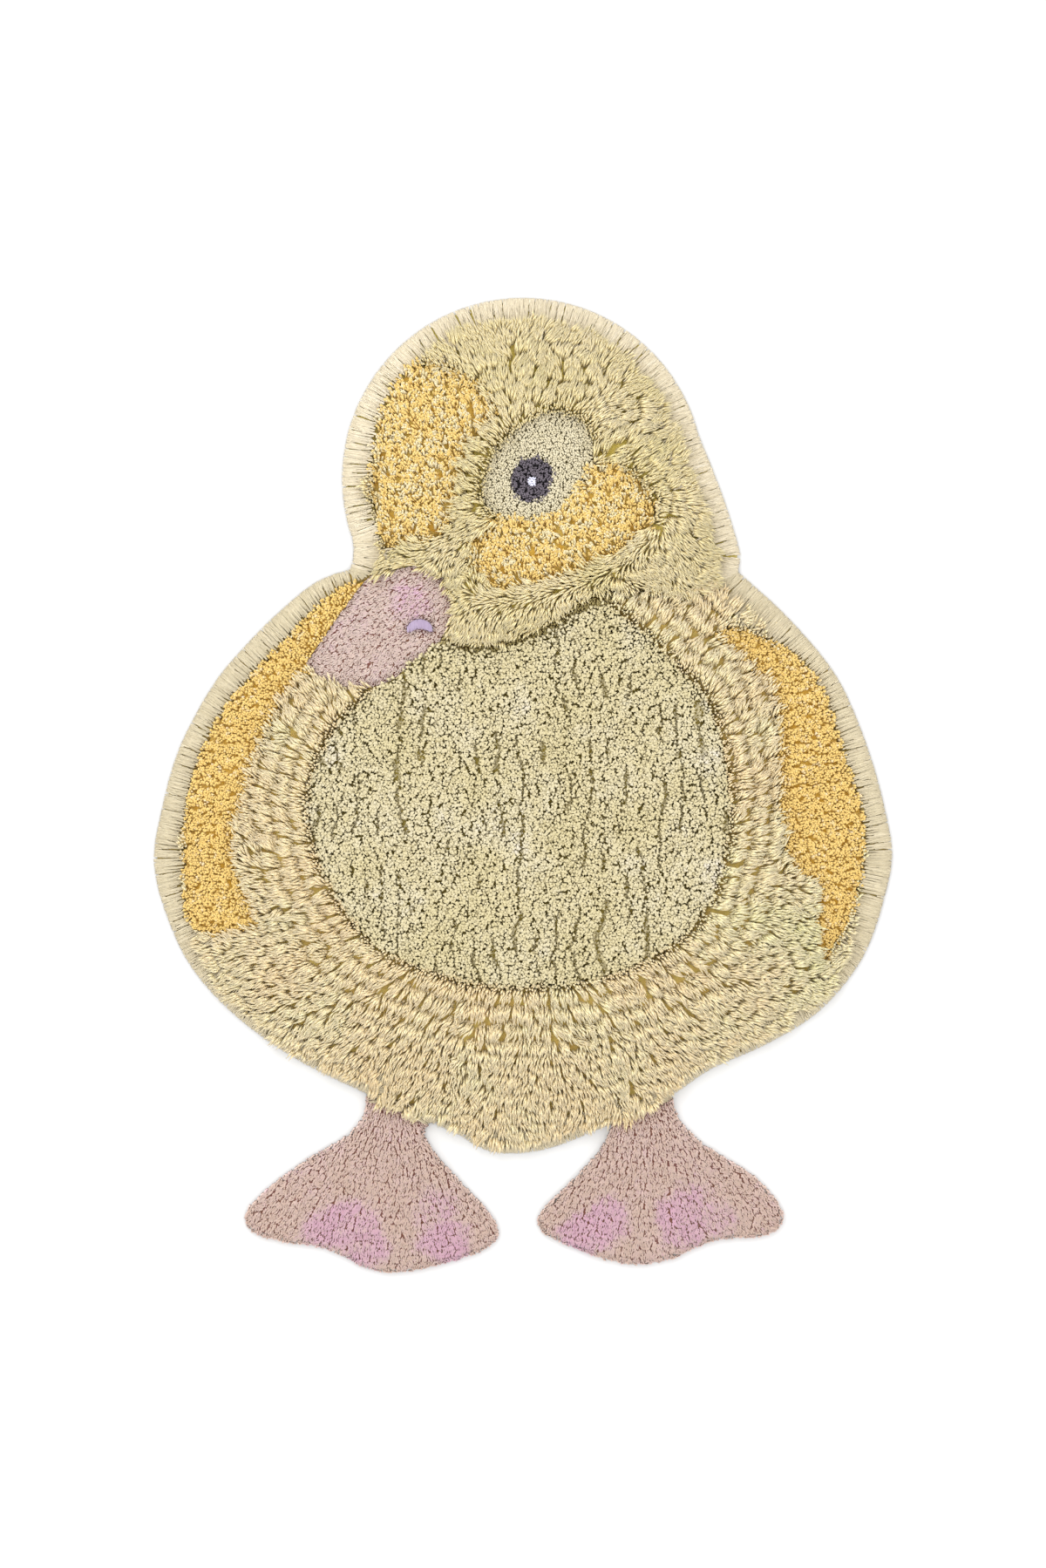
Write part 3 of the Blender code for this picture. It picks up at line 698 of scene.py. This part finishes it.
YARNS = {
    # name: tones across the map, painted shade at the root, tint at the tip
    "head_yarn": (((0.0, "E4D698"), (0.35, "ECDCA6"), (0.7, "F2E2B2"), (1.0, "F6EAC8")), "E2DA94", "DCDEEE"),
    "rim_yarn": (((0.0, "C8BC9E"), (0.4, "D4C8AC"), (0.8, "DED2B8"), (1.0, "E4DCCC")), "CEC292", "DEDCD8"),
    "body_yarn": (((0.0, "EDD5A4"), (0.35, "EDDBAE"), (0.7, "EBE0B2"), (1.0, "E9E2AA")), "D6C68E", "DEDEEC"),
    "belly_yarn": (((0.0, "C6BA8C"), (0.35, "CCC096"), (0.7, "D0C6A4"), (1.0, "D8D0BE")), "C6BA72", "ECECF0"),
    # The neck's dark grey-olive tones are painted shade of the crease under the head
    "neck_yarn": (((0.0, "B1A370"), (0.5, "C1B27C"), (1.0, "D0C28D")), "948050", "E8E8E4"),
    "wing_yarn": (((0.0, "DEBC6B"), (0.4, "E2C477"), (0.75, "E2CA94"), (1.0, "E8D6B7")), "E6D084", "EEECEE"),
    "face_yarn": (((0.0, "E6C26C"), (0.4, "EACE84"), (0.6, "E4D6A8"), (1.0, "E6D8B6")), "E0CA7C", "EEEEF0"),
    "eye_patch_yarn": (((0.0, "CCC29F"), (0.5, "D4CAAC"), (1.0, "DAD2B8")), "A89C6C", "F2F2F2"),
    "pupil_yarn": (((0.0, "58525A"), (0.5, "665E66"), (1.0, "7E767E")), "605860", "FFFFFF"),
    "glint_yarn": (((0.0, "D4D4E6"), (0.5, "D8D8EA"), (1.0, "DCDCEE")), "F4F4FA", "FFFFFF"),
    "plush_yarn": (((0.0, "E6CCBC"), (0.30, "EAD2C6"), (0.55, "ECD2CE"), (0.7, "ECCAD4"), (1.0, "ECC4D6")),
                   "8C6C5E", "F4F2F2"),
    "beak_yarn": (((0.0, "F1DCD1"), (0.30, "F5E2D9"), (0.55, "F3D8DB"), (0.7, "F3D0E2"), (1.0, "F3CAE6")),
                  "8C6C5A", "F8F6F6"),
}
# The same for the thread of the nostril's satin stitches. Its darker tip, along the nostril's upper edge,
# is partly a darker thread line there and partly painted shadow.
SATIN = (((0.0, "B09EB8"), (0.5, "B8A6C0"), (1.0, "C0B0C8")), "E2D8E6", "BEA6C4")


def cloth_material():
    """Unbleached plain weave: one thread over, one under, a thread every 1.2 mm."""
    material = bpy.data.materials.new("ground_cotton")
    material.use_nodes = True
    tree = material.node_tree
    nodes, links = tree.nodes, tree.links
    shader = nodes["Principled BSDF"]
    place = nodes.new("ShaderNodeTexCoord")
    waves = []
    for direction in ("X", "Y"):
        wave = nodes.new("ShaderNodeTexWave")
        wave.bands_direction = direction
        wave.inputs["Scale"].default_value = 130.0
        wave.inputs["Distortion"].default_value = 0.6
        links.new(place.outputs["Object"], wave.inputs["Vector"])
        waves.append(wave.outputs["Fac"])
    weave = maths(tree, "MULTIPLY", *waves)
    colour = ramp(nodes, ((0.0, "C8BC98"), (1.0, "E6DCBE")))
    links.new(weave, colour.inputs["Fac"])
    links.new(colour.outputs["Color"], shader.inputs["Base Color"])
    bump = nodes.new("ShaderNodeBump")
    bump.inputs["Strength"].default_value = 0.6
    bump.inputs["Distance"].default_value = 0.0005
    links.new(weave, bump.inputs["Height"])
    links.new(bump.outputs["Normal"], shader.inputs["Normal"])
    shader.inputs["Roughness"].default_value = 0.95
    return material


MATERIALS = {name: yarn(name, *columns) for name, columns in YARNS.items()}
MATERIALS["stitch_thread"] = yarn("satin_thread", *SATIN, ends=(0.12, 0.90), roughness=0.55, sheen=0.1,
                                  twist=14.0)


def finish_piece(piece, node, material):
    """The piece with its material, standing for its CAD node on the rug's one body."""
    piece.data.materials.append(material)
    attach(piece, "root")
    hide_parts(node)
    return piece


# ---------------------------------------------------------------- the rug's pieces
def ground_cloth():
    """The cloth that all tufts stand in, as one thin closed sheet a little inside its CAD node."""
    loop = shrunk(LOOPS["ground_cloth"][0], SHEET_SIDE_GAP)
    points, faces = pile_foot([shrunk(loop, -FOOT_INSET)], CLOTH_TOP - SHEET_TOP_GAP, bottom=SHEET_BOTTOM)
    uv = points[faces][..., :2] - points[:, :2].min(0)
    uv = uv / np.ptp(points[:, :2], axis=0).max() * 0.98 + 0.01
    cloth = triangle_mesh("ground_cloth_sheet", points, faces, uv)
    for polygon in cloth.data.polygons:
        polygon.use_smooth = False
    return cloth


# A tone takes points and the field's random generator, and returns places among the material's tones.
def head_tone(points, rng):
    return 0.45 + 0.22 * soft_noise(points, 0.06, 11)


def body_tone(points, rng):
    """Warm cream, and a greener one towards the lower right."""
    right = smoothstep(0.10, 0.45, points[:, 0]) * smoothstep(0.10, -0.15, points[:, 1])
    return 0.36 + 0.22 * soft_noise(points, 0.07, 12) + 0.27 * right


def belly_tone(points, rng):
    """Mostly one greenish cream, with paler patches."""
    paler = smoothstep(0.2, 0.9, soft_noise(points, 0.04, 15))
    return 0.40 + 0.20 * soft_noise(points, 0.06, 14) + 0.22 * paler


# Where the plush is dyed rosier: x, y, radius along x, radius along y, strength
TOE_WEBS = (
    (-0.290, -0.658, 0.048, 0.034, 0.90),
    (-0.262, -0.650, 0.050, 0.046, 1.00),
    (-0.236, -0.684, 0.040, 0.038, 0.90),
    (-0.128, -0.634, 0.038, 0.044, 0.55),
    (-0.116, -0.676, 0.046, 0.044, 0.95),
    (0.088, -0.664, 0.040, 0.034, 0.90),
    (0.124, -0.650, 0.038, 0.050, 0.85),
    (0.238, -0.640, 0.044, 0.056, 0.90),
    (0.282, -0.642, 0.044, 0.036, 0.70),
)
BLUSH = ((-0.167, 0.274, 0.038, 0.032, 0.62),)


def rosiness(points, patches):
    """0 to 1: how rosy the dye is at each point."""
    rosy = np.zeros(len(points))
    for x, y, rx, ry, strength in patches:
        away = np.hypot((points[:, 0] - x) / rx, (points[:, 1] - y) / ry)
        rosy = np.maximum(rosy, strength * smoothstep(1.15, 0.55, away + 0.15 * soft_noise(points, 0.02, 16)))
    return rosy


def foot_tone(points, rng):
    return 0.28 + 0.10 * soft_noise(points, 0.03, 17) + 0.55 * rosiness(points, TOE_WEBS)


def beak_tone(points, rng):
    return 0.24 + 0.10 * soft_noise(points, 0.03, 19) + 0.55 * rosiness(points, BLUSH)


def heather_tone(share):
    """Two yarns mixed in small clumps: gold, and about the given share of cream."""
    gold, cream = 0.25, 0.72

    def tone(points, rng):
        mix = soft_noise(points, 0.0055, 13) + 0.25 * rng.normal(size=len(points))
        return np.where(mix > 0.85 - 1.5 * share, cream, gold)
    return tone


def interior(points):
    """Whether each point lies further in than the strands of the rim, which a few tufts stand among."""
    depth = nearest_edge(points, RUG_OUTLINE)[0]
    return depth > rim_width(points) - 0.009 + 0.006 * soft_noise(points, 0.018, 18)


# How each kind of pile stands: the driving values of pile_field
SHAG = dict(rings=LONG_RINGS, splay=0.10, sway_deg=14.0, unruly_deg=5.0, bend=1.7, pit=0.24, pit_drop=0.30,
            overhang_cut=0.35, hold=0.90, foot_share=0.28, foot_slope=0.03, keep=interior)
PLUSH = dict(rings=SPIKE_RINGS, lean=0.005, pit=0.28, pit_drop=0.80, border_drop=0.12, foot_share=0.35,
             tone_spread=0.09, height_scatter=0.12, spill=0.0006, overhang_cut=0.8)
STYLES = {
    "head": SHAG | dict(spacing=0.0032, radius=0.0017, tuft=(0.018, 0.012), lean=0.022, swirl_deg=35.0,
                        gather=0.20, rounding=0.12, spill=0.0075, draw=head_draw, crack=roll_parting),
    "body": SHAG | dict(spacing=0.0039, radius=0.0019, tuft=(0.026, 0.013), lean=0.020, swirl_deg=20.0,
                        gather=0.17, rounding=0.07, spill=0.0045, jitter=(0.20, 0.36),
                        draw=ring_draw, groove=ring_groove),
    "belly": dict(spacing=0.0037, radius=0.0032, tuft=(0.0078, 0.0084), lean=0.003, swirl_deg=60.0,
                  sway_deg=40.0, pit=0.22, pit_drop=0.52, border_drop=0.02, height_scatter=0.05,
                  foot_share=0.36, spill=0.004,
                  crack=lambda points: wavy_cracks(points, pitch=0.030, width=0.0040, seed=31)),
    "neck": dict(spacing=0.0036, radius=0.0022, tuft=(0.010, 0.010), lean=0.004),
    "wing": dict(spacing=0.0033, radius=0.0024, tuft=(0.0085, 0.0085), lean=0.006, sway_deg=35.0,
                 pit=0.15, pit_drop=0.36, foot_share=0.55),
    "face": dict(spacing=0.0031, radius=0.0019, tuft=(0.0075, 0.0075), lean=0.011, sway_deg=40.0,
                 unruly_deg=15.0, pit_drop=0.48),
    "eye_patch": dict(spacing=0.0029, radius=0.0021, tuft=(0.006, 0.009), lean=0.003, pit=0.22,
                      pit_drop=0.80, foot_share=0.30),
    "pupil": dict(spacing=0.0027, radius=0.0018, tuft=(0.006, 0.006), lean=0.003, sway_deg=60.0,
                  proud=0.0005),
    "glint": dict(spacing=0.0017, radius=0.0016, tuft=(0.020, 0.020), lean=0.0005, proud=0.002,
                  pit_drop=0.0, border_drop=0.0, height_scatter=0.02, foot_share=0.40),
    "beak": PLUSH | dict(spacing=0.0022, radius=0.0021, tuft=(0.009, 0.005)),
    "foot": PLUSH | dict(spacing=0.0024, radius=0.0022, tuft=(0.010, 0.006)),
}


def make_rug():
    """Every piece of pile, each standing for its CAD node, and the cloth that carries them all."""

    def add(piece, node, yarn_name):
        finish_piece(piece, node, MATERIALS[yarn_name])

    def grow(name, node, style, tone, comb, slot, seed, yarn_name=None, **changes):
        piece = pile_field(name, node, seed, tone=tone, comb=comb, **(STYLES[style] | changes))
        add(piece, node, yarn_name or slot)

    head_rim = rim_field("head_rim", "head_shag", seed=101, tone=0.70, top=0.022)
    add(head_rim, "head_shag", "rim_yarn")
    body_rim = rim_field("body_rim", "body_shag", seed=121, tone=0.15, top=0.021)
    add(body_rim, "body_shag", "rim_yarn")
    grow("head_tufts", "head_shag", "head", head_tone, head_comb, "head_yarn", seed=111)
    # The body and the belly each come in two pieces, to keep the triangles of a piece down. Both halves
    # stand on one foot, which belongs to the left one.
    grow("body_left", "body_shag", "body", body_tone, body_comb, "body_yarn", seed=131,
         keep=lambda points: interior(points) & (points[:, 0] < 0))
    grow("body_right", "body_shag", "body", body_tone, body_comb, "body_yarn", seed=131,
         keep=lambda points: interior(points) & (points[:, 0] >= 0), foot_share=0.0)
    belly_comb = upright_comb(250.0, warp=0.012, seed=5)
    grow("belly_left", "belly_pile", "belly", belly_tone, belly_comb, "belly_yarn", seed=141,
         keep=lambda points: points[:, 0] < 0)
    grow("belly_right", "belly_pile", "belly", belly_tone, belly_comb, "belly_yarn", seed=141,
         keep=lambda points: points[:, 0] >= 0, foot_share=0.0)
    grow("neck_tufts", "neck_pile", "neck", 0.5, upright_comb(270.0), "neck_yarn", seed=161)
    for side, seed in (("left", 171), ("right", 181)):
        grow(f"{side}_wing_tufts", f"{side}_wing_pile", "wing", heather_tone(0.12),
             radial_comb(BODY_MIDDLE, ring=0.45), "wing_yarn", seed=seed)
    for field, seed, cream in (("forehead", 191, 0.42), ("cheek", 201, 0.38)):
        grow(f"{field}_tufts", f"{field}_pile", "face", heather_tone(cream), upright_comb(110.0),
             "face_yarn", seed=seed)
    grow("eye_patch_tufts", "eye_patch_pile", "eye_patch", 0.5, upright_comb(100.0), "eye_patch_yarn",
         seed=211)
    grow("pupil_tufts", "pupil_pile", "pupil", 0.4, upright_comb(100.0), "pupil_yarn", seed=221)
    grow("eye_glint_tuft", "eye_glint", "glint", 0.5, upright_comb(100.0), "glint_yarn", seed=231)
    grow("beak_plush", "beak_pile", "beak", beak_tone, radial_comb(BEAK_CROWN, ring=0.20), "plush_yarn",
         seed=241, yarn_name="beak_yarn")
    for side, ankle, seed in (("left", LEFT_ANKLE, 251), ("right", RIGHT_ANKLE, 261)):
        grow(f"{side}_foot_plush", f"{side}_foot_pile", "foot", foot_tone,
             radial_comb(ankle, ring=0.20), "plush_yarn", seed=seed)
    nostril = satin_stitches("nostril_threads", "nostril_stitch", seed=271, pitch=0.0013, radius=0.0009,
                             proud=0.001)
    add(nostril, "nostril_stitch", "stitch_thread")
    cloth = ground_cloth()
    finish_piece(cloth, "ground_cloth", cloth_material())


# ---------------------------------------------------------------- studio
def aimed(data, name, place, target):
    """A camera or light at a place, looking at its target."""
    obj = bpy.data.objects.new(name, data)
    obj.location = place
    obj.rotation_euler = (Vector(target) - Vector(place)).to_track_quat("-Z", "Y").to_euler()
    bpy.context.scene.collection.objects.link(obj)
    return obj


def camera_above(scene):
    """The camera over the rug's middle, at the distance from which the photo's frame fits."""
    camera = bpy.data.cameras.new("camera")
    camera.sensor_width = 36.0
    camera.lens = 80.0
    camera.clip_end = 50.0
    distance = camera.lens / camera.sensor_width * PHOTO_HEIGHT * METRES_PER_PIXEL
    scene.camera = aimed(camera, "camera", (*VIEW_MIDDLE, distance + VIEW_HEIGHT), (*VIEW_MIDDLE, 0.0))
    scene.camera.rotation_euler = (0.0, 0.0, 0.0)


def soft_light(scene):
    """White light from all round, and one large lamp beyond the head on the left."""
    world = bpy.data.worlds.new("studio")
    world.use_nodes = True
    background = world.node_tree.nodes["Background"]
    background.inputs["Color"].default_value = (1.0, 1.0, 1.0, 1.0)
    background.inputs["Strength"].default_value = 1.84
    scene.world = world
    key = bpy.data.lights.new("key", "AREA")
    key.size = 2.4
    key.energy = 45.0
    aimed(key, "key", (-1.6, 2.4, 3.4), (0.0, 0.0, 0.0))


def pale_floor(scene, half=9):
    """A plain floor, square, reaching half its side from the middle."""
    mesh = bpy.data.meshes.new("floor")
    corners = [(-half, -half, 0), (half, -half, 0), (half, half, 0), (-half, half, 0)]
    mesh.from_pydata(corners, [], [(0, 1, 2, 3)])
    floor = bpy.data.objects.new("floor", mesh)
    scene.collection.objects.link(floor)
    paint = bpy.data.materials.new("floor_paint")
    paint.use_nodes = True
    shader = paint.node_tree.nodes["Principled BSDF"]
    shader.inputs["Base Color"].default_value = (0.62, 0.62, 0.62, 1.0)
    shader.inputs["Roughness"].default_value = 0.9
    mesh.materials.append(paint)


def studio():
    """The camera, the light and the floor."""
    scene = bpy.context.scene
    scene.view_settings.view_transform = "Standard"
    camera_above(scene)
    soft_light(scene)
    pale_floor(scene)


studio()
make_rug()
